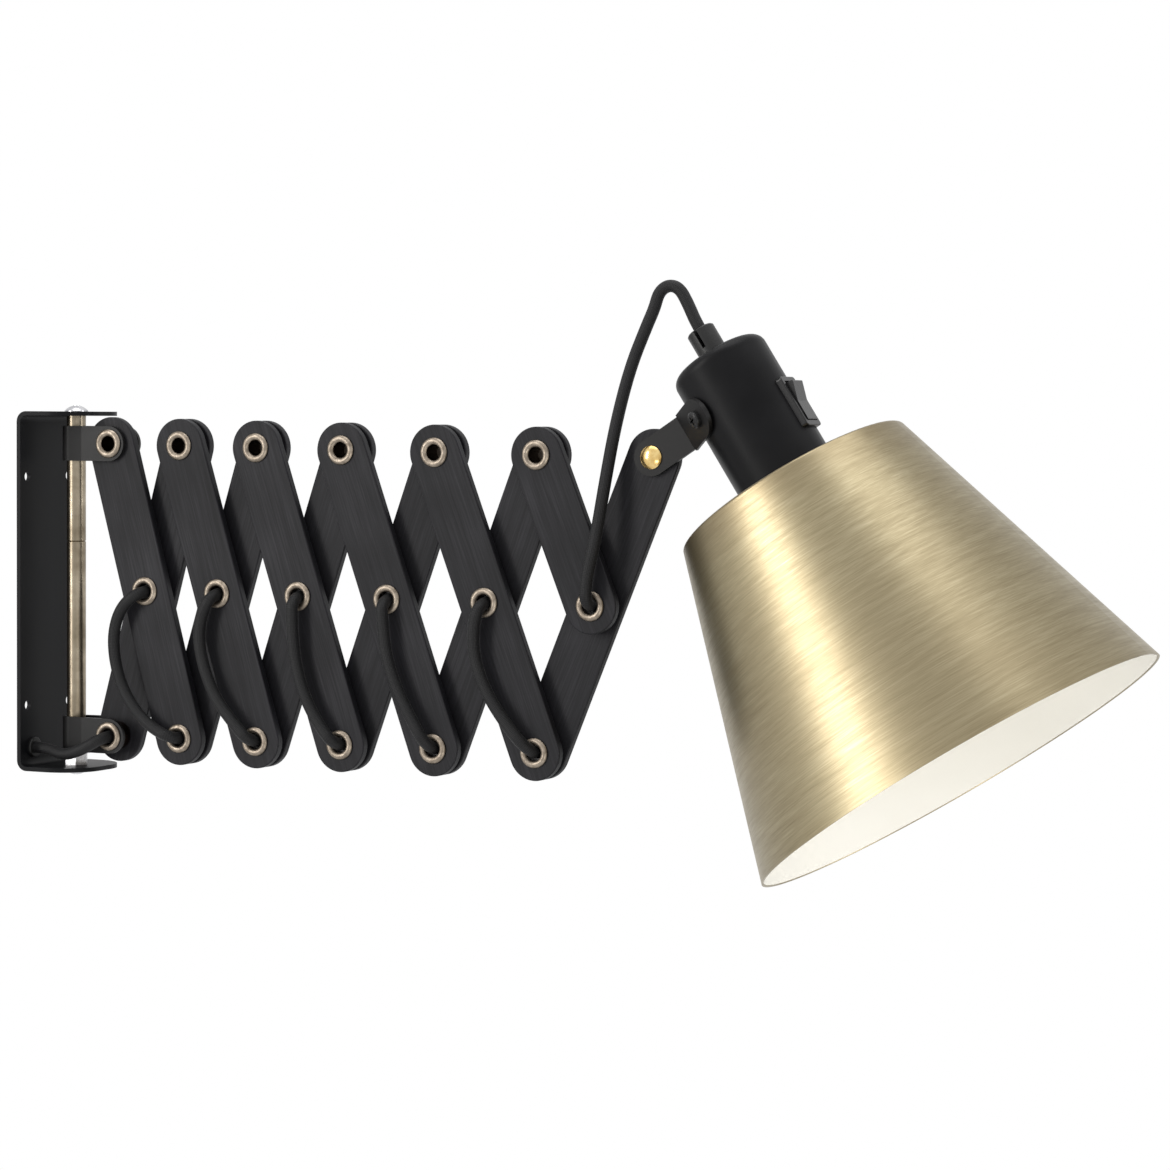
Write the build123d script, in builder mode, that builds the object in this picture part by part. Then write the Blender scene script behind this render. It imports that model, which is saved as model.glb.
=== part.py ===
from build123d import *
import os
from math import acos, cos, pi, radians, sin, tan

# Accordion wall lamp. Millimetres, +Z up, +X away from the wall, +Y to the back of the arm.
# The origin is the centre of the wall plate's back face. The arm stands as it does when it is
# nearly folded, and the arm's middle plane is y = 0.

os.makedirs("parts", exist_ok=True)

# ---- driving dimensions: wall bracket ----
plate_width = 46
plate_sheet = 2
bend_radius = 5  # outside of the bend
flange_depth = 34
flange_corner = 18
wall_hole_spread_y = 34
wall_hole_spread_z = 108
wall_hole_diameter = 4.6

# ---- pivot rod, tubes and their fasteners ----
rod_x = 18
rod_diameter = 6
tube_diameter = 9
tube_bore = 6.2
tube_seam_z = 23.4
tube_edge = 0.35
screw_diameter = 4
screw_head_diameter = 11
screw_head_height = 2.9
screw_length = 12
head_rim = 0.5  # straight edge under a domed screw head
nut_flats = 10
nut_height = 5.4
washer_diameter = 13
washer_thickness = 1.2

# ---- scissor arm ----
cells = 6
bar_width = 25
bar_thickness = 4
bar_gap = 3
bar_edge = 0.6
bar_span = 142.02  # from end hole to end hole
middle_shift = 0.29  # of the middle hole, off centre and away from the wall
rest_angle = 15.35  # of the first pair of bars, from vertical
first_pivot_x = 41

# ---- hollow rivets and spacing washers ----
rivet_bore = 7.2
rivet_barrel = 8.4
rivet_head = 13.4
rivet_dome = 1.5
rivet_lip = 0.5
rivet_floor = 1.6  # closed back end of the upper rivets, which hold no cord
rivet_shake = 0.2  # end play of a riveted pair
pivot_washer = 16

# ---- collars round the rod ----
strap_height = 16.4
strap_sheet = 1.8
strap_joggle = 8  # from the rod's axis to the start of the flat leaves
spacer_diameter = 13

# ---- lamp head ----
head_tilt = 33.2  # of the head's axis, from straight down
head_reach = 46.2  # pivot to the head's axis
head_drop = 22  # top of the cup to the pivot, along the axis
head_plane_y = 8
cup_diameter = 44
cup_length = 67.2
cup_wall = 1.5
cup_round = 5
shade_top = 109
shade_mouth = 193.4
shade_height = 141.7
shade_wall = 1
leaf_sheet = 1.8
tab_turn = 50  # where the tab meets the cup, from the arm's side towards the front
tab_radius = 9
head_screw = 4
pivot_head_diameter = 10.2
pivot_head_height = 2.6
tab_head_diameter = 7.6
tab_head_height = 2.6
head_soft_edge = 1.2  # rounding of the tab screw's head
head_nut_flats = 7
head_nut_height = 3.2

# ---- cord grip ----
cord_diameter = 5.5
grip_diameter = 12.8
grip_length = 14
grip_slot = 1.6
grip_slot_depth = 9
nipple_diameter = 9
nipple_length = 8
grip_nut_flats = 13
grip_nut_height = 3

# ---- lampholder ----
holder_diameter = 38
holder_top = 52  # below the top of the cup
holder_base = 6
holder_length = 52
shoulder_height = 7
shell_bore = 26.6
shell_wall = 0.8
shell_length = 30
contact_diameter = 9
contact_height = 3
ring_diameter = 48
ring_height = 6

# ---- rocker switch ----
switch_drop = 37.4  # top of the cup to the middle of the switch
bezel_length = 24.7
bezel_width = 15.6
bezel_rise = 1.4
switch_length = 22.2
switch_width = 13.4
switch_depth = 13
switch_wall = 1.1
pocket_depth = 7
rocker_play = 0.8
rocker_depth = 2.4
rocker_rise = 4.4
rocker_dip = 1.4
rocker_tilt = 9
trunnion_diameter = 2
trunnion_reach = 0.9
terminal_width = 4.8
terminal_thickness = 0.8
terminal_length = 5.5
terminal_spacing = 10

# ---- cord, from the wall to the head ----
bore_meet_y = 0  # pieces of the cord meet here, inside the rivets
front_cord_y = -10.6
rear_cord_y = 11.2
rear_bow = 3.9

# ---- clearances ----
running_play = 0.06  # radial, of a pin in its bore
open_play = 0.45  # radial, at the pivots that close the linkage
snug_play = 0.05  # radial, of a rivet in the bar that it is set in
side_play = 0.3  # between flat faces that pass each other
seat_play = 0.1  # under the lower collar, which rests on its washer
top_room = 0.487  # between the first bar's end and the upper flange
collar_play = 0.15  # radial, of a collar round the tube

# ---- worked out ----
front_y = -(bar_gap / 2 + bar_thickness)  # front face of the front bars
back_y = -front_y  # back face of the rear bars
leaf_y = back_y + side_play  # inner faces of the collars' leaves
collar_y = leaf_y + strap_sheet
wall_half = bar_span / 2 + middle_shift
lamp_half = bar_span / 2 - middle_shift
collar_rise = 2 * wall_half * cos(radians(rest_angle))  # between the two collars' pivots
base_stack = nut_height + washer_thickness + seat_play + strap_height / 2
inner_z = (base_stack + collar_rise + bar_width / 2 + top_room) / 2
flange_z = inner_z + plate_sheet
base_nut_z = nut_height - inner_z
base_washer_z = base_nut_z + washer_thickness
lower_pivot_z = base_stack - inner_z
rivet_hole = rivet_barrel + 2 * snug_play
running_hole = rivet_barrel + 2 * running_play
open_hole = rivet_barrel + 2 * open_play


def spread(cell):
    """Angle from vertical of the two bars of a cell; it grows towards the lamp, because the
    middle holes lie a little off centre."""
    return acos(cos(radians(rest_angle)) * (lamp_half / wall_half) ** (cell - 1))


middle_z = lower_pivot_z + collar_rise / 2


def end_x(cell):
    """Pivots above and below each other at the lamp side of a cell."""
    return first_pivot_x + (wall_half + lamp_half) * sum(sin(spread(n)) for n in range(1, cell + 1))


def middle_pivot(cell):
    return (end_x(cell - 1) + wall_half * sin(spread(cell)), middle_z)


def top_pivot(number):
    """Upper pivot 1 is on the upper collar, pivot 7 carries the lamp head."""
    if number == 1:
        return (first_pivot_x, middle_z + wall_half * cos(spread(1)))
    return (end_x(number - 1), middle_z + lamp_half * cos(spread(number - 1)))


def bottom_pivot(number):
    """Lower pivot 0 is on the lower collar."""
    if number == 0:
        return (first_pivot_x, lower_pivot_z)
    return (end_x(number), middle_z - lamp_half * cos(spread(number)))


def save(builder, label):
    builder.part.label = label
    export_step(builder.part, f"parts/{label}.step")


# ---------------------------------------------------------------- wall bracket


def tube_between(bottom, top, outer, inner):
    """Ring or tube on the rod's axis, from one height to another."""
    with BuildPart() as ring:
        with BuildSketch(Plane.XY.offset(bottom)):
            with Locations((rod_x, 0)):
                Circle(outer / 2)
                Circle(inner / 2, mode=Mode.SUBTRACT)
        extrude(amount=top - bottom)
    return ring


grommet_y = -12
grommet_z = lower_pivot_z - 6.5
grommet_hole = 8
grommet_lip = 9.6
grommet_bore = cord_diameter + 2 * snug_play

with BuildPart() as wall_plate:
    with BuildSketch(Plane.XZ):
        with BuildLine():
            FilletPolyline(
                (flange_depth, flange_z),
                (0, flange_z),
                (0, -flange_z),
                (flange_depth, -flange_z),
                radius=bend_radius,
            )
            offset(amount=plate_sheet, side=Side.LEFT)
        make_face()
    extrude(amount=plate_width / 2, both=True)
    fillet(
        wall_plate.edges().filter_by(Axis.Z).group_by(Axis.X)[-1],
        radius=min(flange_corner, plate_width / 2 - 1, flange_depth - bend_radius - 1),
    )
    with BuildSketch(Plane.XY.offset(-flange_z - 1)):
        with Locations((rod_x, 0)):
            Circle(screw_diameter / 2 + 0.2)
    extrude(amount=2 * flange_z + 2, mode=Mode.SUBTRACT)
    with Locations(Plane(origin=(plate_sheet, 0, 0), x_dir=(0, 1, 0), z_dir=(1, 0, 0))):
        with GridLocations(wall_hole_spread_y, wall_hole_spread_z, 2, 2):
            Hole(wall_hole_diameter / 2, depth=plate_sheet)
        with Locations((grommet_y, grommet_z)):
            Hole(grommet_hole / 2, depth=plate_sheet)
save(wall_plate, "wall_plate")

with BuildPart() as pivot_rod:
    with BuildSketch(Plane.XY.offset(-inner_z)):
        with Locations((rod_x, 0)):
            Circle(rod_diameter / 2)
    extrude(amount=2 * inner_z)
    for height, way in ((-inner_z, 1), (inner_z, -1)):
        with BuildSketch(Plane.XY.offset(height)):
            with Locations((rod_x, 0)):
                Circle(screw_diameter / 2)
        extrude(amount=way * screw_length, mode=Mode.SUBTRACT)
save(pivot_rod, "pivot_rod")

lower_tube = tube_between(base_washer_z, tube_seam_z, tube_diameter, tube_bore)
upper_tube = tube_between(tube_seam_z, inner_z, tube_diameter, tube_bore)
for tube, label in ((lower_tube, "lower_tube"), (upper_tube, "upper_tube")):
    with BuildPart() as dressed:
        add(tube.part)
        seam = dressed.edges().filter_by(GeomType.CIRCLE)
        seam = seam.filter_by_position(Axis.Z, tube_seam_z - 0.01, tube_seam_z + 0.01)
        chamfer(seam.sort_by(SortBy.RADIUS)[-1], length=tube_edge)
    save(dressed, label)

with BuildPart() as base_nut:
    with BuildSketch(Plane.XY.offset(-inner_z)):
        with Locations((rod_x, 0)):
            RegularPolygon(nut_flats / 2, 6, major_radius=False)
            Circle(rod_diameter / 2 + snug_play, mode=Mode.SUBTRACT)
    extrude(amount=nut_height)
save(base_nut, "base_nut")

base_washer = tube_between(base_nut_z, base_washer_z, washer_diameter, rod_diameter + 0.4)
save(base_washer, "base_washer")


def cross_recess(plane, size, width, depth):
    """Cross slot for a screwdriver, cut into the screw that is being built."""
    with BuildSketch(plane) as cross:
        Rectangle(size, width)
        Rectangle(width, size)
    extrude(cross.sketch, amount=-depth, mode=Mode.SUBTRACT)


with BuildPart() as bracket_screws:
    for height, way in ((flange_z, 1), (-flange_z, -1)):
        seat = Plane(origin=(rod_x, 0, height), x_dir=(1, 0, 0), z_dir=(0, 0, way))
        profile = Plane(origin=(rod_x, 0, height), x_dir=(1, 0, 0), z_dir=(0, -way, 0))
        with BuildSketch(profile):
            with BuildLine():
                Polyline(
                    (0, screw_head_height),
                    (0, 0),
                    (screw_head_diameter / 2, 0),
                    (screw_head_diameter / 2, head_rim),
                )
                TangentArc(
                    (0, screw_head_height), (screw_head_diameter / 2, head_rim), tangent=(1, 0)
                )
            make_face()
        revolve(axis=Axis((rod_x, 0, height), (0, 0, 1)))
        with BuildSketch(seat):
            Circle(screw_diameter / 2 - snug_play)
        extrude(amount=-(screw_length - 1))
        cross_recess(seat.offset(screw_head_height), screw_head_diameter * 0.42, 1.1, 1.6)
save(bracket_screws, "bracket_screws")

with BuildPart() as cord_grommet:
    grommet = Plane(origin=(0, grommet_y, grommet_z), x_dir=(0, 1, 0), z_dir=(1, 0, 0))
    with BuildSketch(grommet):
        Circle(grommet_hole / 2 - snug_play)
    extrude(amount=plate_sheet)
    with BuildSketch(grommet.offset(plate_sheet)):
        Circle(grommet_lip / 2)
    extrude(amount=1.2)
    fillet(cord_grommet.edges().group_by(Axis.X)[-1], radius=0.5)
    with BuildSketch(grommet):
        Circle(grommet_bore / 2)
    extrude(amount=plate_sheet + 2, mode=Mode.SUBTRACT)
save(cord_grommet, "cord_grommet")

# ---------------------------------------------------------------- collars, rivets, spacers


def rivet(pivot, front, back, closed):
    """Hollow rivet with a rolled, domed head at each end, added to the part being built. A closed
    one has a floor at its back end."""
    x, z = pivot
    bore = rivet_bore / 2
    head = rivet_head / 2
    middle = (bore + head) / 2
    with BuildSketch(Plane(origin=(x, 0, z), x_dir=(1, 0, 0), z_dir=(0, 0, 1))) as profile:
        with BuildLine():
            Line((bore, back + rivet_lip), (bore, front - rivet_lip))
            ThreePointArc(
                (bore, front - rivet_lip), (middle, front - rivet_dome), (head, front - rivet_lip)
            )
            Polyline(
                (head, front - rivet_lip),
                (head, front),
                (rivet_barrel / 2, front),
                (rivet_barrel / 2, back),
                (head, back),
                (head, back + rivet_lip),
            )
            ThreePointArc(
                (head, back + rivet_lip), (middle, back + rivet_dome), (bore, back + rivet_lip)
            )
        make_face()
    revolve(profile.sketch, axis=Axis((x, 0, z), (0, 1, 0)))
    if closed:
        with BuildSketch(Plane(origin=(x, back, z), x_dir=(1, 0, 0), z_dir=(0, 1, 0))) as end:
            Circle(rivet_bore / 2)
        extrude(end.sketch, amount=-rivet_floor)


def spacer(pivot, front, back, diameter):
    """Ring round a rivet's barrel, from one depth to another."""
    x, z = pivot
    with BuildSketch(Plane(origin=(x, front, z), x_dir=(1, 0, 0), z_dir=(0, 1, 0))) as ring:
        Circle(diameter / 2)
        Circle(rivet_hole / 2, mode=Mode.SUBTRACT)
    extrude(ring.sketch, amount=back - front)


def strap(pivot, label):
    """Sheet strap bent round the tube, with two leaves that reach to the pivot."""
    x, z = pivot
    bend = tube_diameter / 2 + collar_play
    reach = x + strap_height / 2 + 1
    with BuildPart() as collar:
        with BuildSketch(Plane.XY.offset(z)):
            with BuildLine():
                Polyline((reach, leaf_y), (rod_x + strap_joggle, leaf_y), (rod_x, bend))
                ThreePointArc((rod_x, bend), (rod_x - bend, 0), (rod_x, -bend))
                Polyline((rod_x, -bend), (rod_x + strap_joggle, -leaf_y), (reach, -leaf_y))
                offset(amount=strap_sheet, side=Side.RIGHT)
            make_face()
        extrude(amount=strap_height / 2, both=True)
        with BuildSketch(Plane.XZ):
            with Locations(((x + rod_x) / 2 - 10, z)):
                Rectangle(x - rod_x + 20, strap_height)
            with Locations((x, z)):
                Circle(strap_height / 2)
        extrude(amount=2 * collar_y, both=True, mode=Mode.INTERSECT)
        with BuildSketch(Plane.XZ):
            with Locations((x, z)):
                Circle(rivet_hole / 2)
        extrude(amount=2 * collar_y, both=True, mode=Mode.SUBTRACT)
    save(collar, label)


strap(top_pivot(1), "upper_strap")
strap(bottom_pivot(0), "lower_strap")

with BuildPart() as upper_rivet:
    rivet(top_pivot(1), -collar_y, collar_y, closed=True)
save(upper_rivet, "upper_rivet")

with BuildPart() as lower_rivet:
    rivet(bottom_pivot(0), -collar_y, collar_y, closed=False)
save(lower_rivet, "lower_rivet")

with BuildPart() as upper_spacer:
    spacer(top_pivot(1), -bar_gap / 2 + side_play, leaf_y, spacer_diameter)
save(upper_spacer, "upper_spacer")

with BuildPart() as lower_spacer:
    spacer(bottom_pivot(0), -leaf_y, bar_gap / 2 - side_play, spacer_diameter)
save(lower_spacer, "lower_spacer")

# ---------------------------------------------------------------- bars


def bar(cell, rise, layer_y, reach, holes, label):
    """Flat slat with round ends. Its own x runs from its wall-side end to its lamp-side end,
    with 0 at the middle hole. rise is 1 where it climbs to the lamp and -1 where it falls."""
    x, z = middle_pivot(cell)
    angle = spread(cell)
    lie = Plane(
        origin=(x, layer_y, z), x_dir=(sin(angle), 0, rise * cos(angle)), z_dir=(0, -1, 0)
    )
    with BuildPart() as slat:
        with BuildSketch(lie):
            with Locations(((reach - wall_half) / 2, 0)):
                SlotCenterToCenter(wall_half + reach, bar_width)
        extrude(amount=bar_thickness)
        outline = slat.faces().filter_by(Axis.Y).edges()
        fillet(outline, radius=min(bar_edge, bar_thickness / 3))
        for place, diameter in holes:
            with BuildSketch(lie):
                with Locations((place, 0)):
                    Circle(diameter / 2)
            extrude(amount=bar_thickness, mode=Mode.SUBTRACT)
    save(slat, label)


for cell in range(1, cells + 1):
    last = cell == cells
    first = cell == 1
    far_end = 0 if last else lamp_half
    front_holes = [(-wall_half, running_hole if first else rivet_hole), (0, rivet_hole)]
    if not last:
        front_holes.append((lamp_half, rivet_hole))
    bar(cell, -1, -bar_gap / 2, far_end, front_holes, f"front_bar_{cell}")
    closing = cell % 2 == 1
    near_hole = open_hole if closing and not first else running_hole
    far_hole = open_hole if closing else running_hole
    if last:
        far_hole = head_screw + 2 * running_play
    rear_holes = [(-wall_half, near_hole), (0, running_hole), (lamp_half, far_hole)]
    bar(cell, 1, back_y, lamp_half, rear_holes, f"rear_bar_{cell}")

for cell in range(1, cells + 1):
    pivots = [middle_pivot(cell)]
    if cell > 1:
        pivots.append(top_pivot(cell))
    if cell < cells:
        pivots.append(bottom_pivot(cell))
    with BuildPart() as rivets:
        for pivot in pivots:
            above = pivot[1] > middle_z + bar_width
            rivet(pivot, front_y, back_y + rivet_shake, closed=above)
            spacer(pivot, -bar_gap / 2, bar_gap / 2 - rivet_shake, pivot_washer)
    save(rivets, f"rivets_{cell}")

# ---------------------------------------------------------------- lamp head

axis_way = Vector(sin(radians(head_tilt)), 0, -cos(radians(head_tilt)))
side_way = Vector(cos(radians(head_tilt)), 0, sin(radians(head_tilt)))  # away from the arm
head_x, head_z = top_pivot(cells + 1)
cup_top = Vector(head_x, 0, head_z) + side_way * head_reach - axis_way * head_drop
cup_top = Vector(cup_top.X, head_plane_y, cup_top.Z)
# In the head's own plane x points away from the arm, y to the front and z to the shade's mouth.
head = Plane(origin=cup_top, x_dir=side_way, z_dir=axis_way)
# In the section plane x is the radius and y the distance below the top of the cup.
section = Plane(origin=cup_top, x_dir=side_way, z_dir=side_way.cross(axis_way))
head_axis = Axis(cup_top, axis_way)

cup_radius = cup_diameter / 2
cup_bore = cup_radius - cup_wall
shade_seat = cup_length  # the shade's top lies against the rim of the cup
leaf_back = bar_gap / 2 - side_play
leaf_plane = head_plane_y - leaf_back + leaf_sheet / 2  # the leaf's middle, in the head's y
tab_way = Vector(-cos(radians(tab_turn)), sin(radians(tab_turn)))
tab_along = Vector(-sin(radians(tab_turn)), -cos(radians(tab_turn)))
tab_middle = cup_radius + leaf_sheet / 2
tab_screw_plane = Plane(
    origin=head.from_local_coords(tab_way * cup_radius + Vector(0, 0, head_drop)),
    x_dir=axis_way,
    z_dir=head.from_local_coords(tab_way) - cup_top,
)
# In the switch's plane x points down the cup, y to the back and z out of the cup.
switch_plane = Plane(
    origin=head.from_local_coords((0, 0, switch_drop)), x_dir=axis_way, z_dir=side_way
)


def section_revolve(*corners):
    """Solid of revolution round the head's axis, from corners given as radius and drop."""
    with BuildSketch(section) as profile:
        with BuildLine():
            Polyline(*corners, close=True)
        make_face()
    revolve(profile.sketch, axis=head_axis)


with BuildPart() as lamp_cup:
    section_revolve(
        (0, 0),
        (cup_radius, 0),
        (cup_radius, cup_length),
        (cup_bore, cup_length),
        (cup_bore, cup_wall),
        (0, cup_wall),
    )
    rounds = lamp_cup.edges().filter_by(GeomType.CIRCLE)
    fillet(rounds.group_by(head_axis)[0], radius=cup_round)
    inside = rounds.filter_by(lambda edge: edge.radius < cup_radius - cup_wall / 2)
    fillet(inside.sort_by(head_axis)[0], radius=cup_round - cup_wall)
    with BuildSketch(head):
        Circle(nipple_diameter / 2 + snug_play)
    extrude(amount=cup_wall, mode=Mode.SUBTRACT)
    with BuildSketch(switch_plane):
        Rectangle(switch_length + 2 * snug_play, switch_width + 2 * snug_play)
    extrude(amount=cup_diameter, mode=Mode.SUBTRACT)
    with BuildSketch(tab_screw_plane.offset(-cup_radius / 2)):
        Circle(head_screw / 2 + 0.1)
    extrude(amount=cup_radius, mode=Mode.SUBTRACT)
save(lamp_cup, "lamp_cup")

# The leaf lies against the last rear bar; the tab is bent forwards to lie against the cup.
fold = (tab_way * tab_middle).Y - leaf_plane
fold_run = fold / cos(radians(tab_turn))
fold_point = tab_way * tab_middle + tab_along * fold_run
tab_end = tab_way * tab_middle - tab_along * tab_radius

with BuildPart() as head_bracket:
    with BuildSketch(head.offset(head_drop)):
        with BuildLine() as bent:
            Polyline(
                (-head_reach - strap_height / 2, leaf_plane),
                (fold_point.X, leaf_plane),
                (tab_end.X, tab_end.Y),
            )
            offset(amount=leaf_sheet / 2, side=Side.BOTH)
        make_face()
    extrude(amount=tab_radius, both=True)
    leaf_face = Plane(
        origin=head.from_local_coords((0, 0, head_drop)), x_dir=side_way, z_dir=(0, -1, 0)
    )
    leaf_length = head_reach + fold_point.X
    with BuildSketch(leaf_face):
        with Locations((-head_reach, 0)):
            Circle(strap_height / 2)
        with Locations((-head_reach + leaf_length / 2, 0)):
            Rectangle(leaf_length, strap_height)
        with Locations((fold_point.X + cup_radius, 0)):
            Rectangle(2 * cup_radius, 2 * tab_radius)
    extrude(amount=2 * cup_radius, both=True, mode=Mode.INTERSECT)
    with BuildSketch(leaf_face):
        with Locations((-head_reach, 0)):
            Circle(head_screw / 2 + running_play)
    extrude(amount=2 * cup_radius, both=True, mode=Mode.SUBTRACT)
    with BuildSketch(tab_screw_plane):
        Circle(head_screw / 2 + 0.1)
    extrude(amount=2 * leaf_sheet, both=True, mode=Mode.SUBTRACT)
    with BuildSketch(tab_screw_plane):
        with Locations((0, tab_radius)):
            Rectangle(3 * tab_radius, 2 * tab_radius)
        Circle(tab_radius, mode=Mode.SUBTRACT)
    extrude(amount=2 * leaf_sheet, both=True, mode=Mode.SUBTRACT)
save(head_bracket, "head_bracket")

# ---------------------------------------------------------------- fasteners of the head

pivot_seat = leaf_back - leaf_sheet - snug_play  # the screw's head is in front of the leaf
with BuildPart() as head_pivot_screw:
    with BuildSketch(Plane(origin=(head_x, 0, head_z), x_dir=(1, 0, 0), z_dir=(0, 0, 1))):
        with BuildLine():
            Polyline(
                (0, back_y + head_nut_height + 1.4),
                (head_screw / 2, back_y + head_nut_height + 1.4),
                (head_screw / 2, pivot_seat),
                (pivot_head_diameter / 2, pivot_seat),
                (pivot_head_diameter / 2, pivot_seat - head_rim),
            )
            TangentArc(
                (0, pivot_seat - pivot_head_height),
                (pivot_head_diameter / 2, pivot_seat - head_rim),
                tangent=(1, 0),
            )
            Line((0, pivot_seat - pivot_head_height), (0, back_y + head_nut_height + 1.4))
        make_face()
    revolve(axis=Axis((head_x, 0, head_z), (0, 1, 0)))
    chamfer(head_pivot_screw.edges().filter_by(GeomType.CIRCLE).sort_by(Axis.Y)[-1], length=0.4)
save(head_pivot_screw, "head_pivot_screw")

with BuildPart() as head_pivot_nut:
    nut_seat = (head_x, back_y + snug_play, head_z)
    with BuildSketch(Plane(origin=nut_seat, x_dir=(1, 0, 0), z_dir=(0, 1, 0))):
        RegularPolygon(head_nut_flats / 2, 6, major_radius=False)
        Circle(head_screw / 2 + snug_play, mode=Mode.SUBTRACT)
    extrude(amount=head_nut_height)
    chamfer(head_pivot_nut.edges().group_by(Axis.Y)[-1].filter_by(GeomType.LINE), length=0.3)
save(head_pivot_nut, "head_pivot_nut")

tab_head_plane = tab_screw_plane.offset(leaf_sheet)
with BuildPart() as tab_screw:
    with BuildSketch(tab_head_plane):
        Circle(tab_head_diameter / 2)
    extrude(amount=tab_head_height)
    outwards = Axis(tab_head_plane.origin, tab_head_plane.z_dir)
    fillet(tab_screw.edges().sort_by(outwards)[-1], radius=head_soft_edge)
    with BuildSketch(tab_head_plane):
        Circle(head_screw / 2)
    extrude(amount=-(leaf_sheet + cup_wall + 3))
    cross_recess(tab_head_plane.offset(tab_head_height), tab_head_diameter * 0.5, 0.9, 1.3)
save(tab_screw, "tab_screw")

# ---------------------------------------------------------------- cord grip on the cup

grip_nut_top = cup_wall
with BuildPart() as cord_grip:
    with BuildSketch(head):
        Circle(grip_diameter / 2)
    extrude(amount=-grip_length)
    chamfer(cord_grip.edges().group_by(head_axis)[0], length=0.6)
    with BuildSketch(head):
        Circle(nipple_diameter / 2)
    extrude(amount=nipple_length)
    with BuildSketch(head.offset(-grip_length - 1)):
        Circle(cord_diameter / 2 + snug_play)
    extrude(amount=grip_length + nipple_length + 2, mode=Mode.SUBTRACT)
    with BuildSketch(head.offset(-grip_length - 1)):
        with Locations((0, grip_diameter / 2)):
            Rectangle(grip_slot, grip_diameter)
    extrude(amount=grip_slot_depth + 1, mode=Mode.SUBTRACT)
save(cord_grip, "cord_grip")

with BuildPart() as grip_nut:
    with BuildSketch(head.offset(grip_nut_top)):
        RegularPolygon(grip_nut_flats / 2, 6, major_radius=False)
        Circle(nipple_diameter / 2 + snug_play, mode=Mode.SUBTRACT)
    extrude(amount=grip_nut_height)
save(grip_nut, "grip_nut")

# ---------------------------------------------------------------- rocker switch

bezel_top = cup_radius + bezel_rise
pocket_length = switch_length - 2 * switch_wall
pocket_width = switch_width - 2 * switch_wall
rocker_length = pocket_length - 2 * rocker_play
rocker_width = pocket_width - 2 * side_play
rocker_axis_height = bezel_top - rocker_depth
rocker_axis = Axis(switch_plane.from_local_coords((0, 0, rocker_axis_height)), (0, 1, 0))
trunnion_end = rocker_width / 2 + trunnion_reach

with BuildPart() as switch_housing:
    with BuildSketch(switch_plane.offset(cup_radius - 4)):
        RectangleRounded(bezel_length, bezel_width, 1.6)
    extrude(amount=4 + bezel_rise)
    fillet(switch_housing.edges().group_by(Axis(switch_plane.origin, side_way))[-1], radius=0.5)
    with BuildSketch(head.offset(switch_drop - bezel_length)):
        Circle(cup_radius)
    extrude(amount=2 * bezel_length, mode=Mode.SUBTRACT)
    with BuildSketch(switch_plane.offset(cup_radius - switch_depth)):
        Rectangle(switch_length, switch_width)
    extrude(amount=switch_depth)
    with BuildSketch(switch_plane.offset(bezel_top - pocket_depth)):
        Rectangle(pocket_length, pocket_width)
    extrude(amount=pocket_depth + 1, mode=Mode.SUBTRACT)
    with BuildSketch(Plane(origin=rocker_axis.position, x_dir=axis_way, z_dir=(0, 1, 0))):
        Circle(trunnion_diameter / 2 + running_play)
    extrude(amount=trunnion_end + 0.1, both=True, mode=Mode.SUBTRACT)
save(switch_housing, "switch_housing")

rocker_along = axis_way * cos(radians(rocker_tilt)) - side_way * sin(radians(rocker_tilt))
rocker_face = Plane(origin=rocker_axis.position, x_dir=rocker_along, z_dir=(0, -1, 0))
rocker_plane = rocker_face.offset(-rocker_width / 2)
with BuildPart() as rocker:
    with BuildSketch(rocker_plane):
        with BuildLine():
            Polyline(
                (-rocker_length / 2, rocker_rise),
                (0, rocker_rise - rocker_dip),
                (rocker_length / 2, rocker_rise),
                (rocker_length / 2, -1),
                (trunnion_diameter, -rocker_depth),
                (-trunnion_diameter, -rocker_depth),
                (-rocker_length / 2, -1),
                close=True,
            )
        make_face()
    extrude(amount=rocker_width)
    rocker_up = Axis(rocker_plane.origin, rocker_plane.y_dir)
    fillet(rocker.edges().filter_by(Axis.Y).group_by(rocker_up)[-1], radius=0.5)
    with BuildSketch(rocker_plane.offset(-trunnion_reach)):
        Circle(trunnion_diameter / 2)
    extrude(amount=2 * trunnion_end)
save(rocker, "rocker")

with BuildPart() as switch_terminals:
    with BuildSketch(switch_plane.offset(cup_radius - switch_depth)):
        with GridLocations(terminal_spacing, 1, 2, 1):
            Rectangle(terminal_thickness, terminal_width)
    extrude(amount=-terminal_length)
save(switch_terminals, "switch_terminals")

# ---------------------------------------------------------------- lampholder

holder_radius = holder_diameter / 2
holder_mouth = holder_top + holder_length
shell_radius = shell_bore / 2 + shell_wall
shell_mouth = holder_mouth - 3
shoulder_top = shade_seat - shoulder_height
shoulder_radius = cup_bore - snug_play
cavity_radius = shell_radius + snug_play
ring_top = shade_seat + shade_wall

with BuildPart() as lampholder:
    section_revolve(
        (0, holder_top),
        (holder_radius - 2, holder_top),
        (holder_radius, holder_top + 2),
        (holder_radius, shoulder_top),
        (shoulder_radius, shoulder_top),
        (shoulder_radius, shade_seat),
        (holder_radius, shade_seat),
        (holder_radius, holder_mouth),
        (cavity_radius, holder_mouth),
        (cavity_radius, holder_top + holder_base),
        (0, holder_top + holder_base),
    )
    fillet(
        lampholder.edges().filter_by(GeomType.CIRCLE).group_by(head_axis)[-1], radius=0.8
    )
save(lampholder, "lampholder")

with BuildPart() as screw_shell:
    with BuildSketch(head.offset(shell_mouth - shell_length)):
        Circle(shell_radius)
        Circle(shell_bore / 2, mode=Mode.SUBTRACT)
    extrude(amount=shell_length)
save(screw_shell, "screw_shell")

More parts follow.
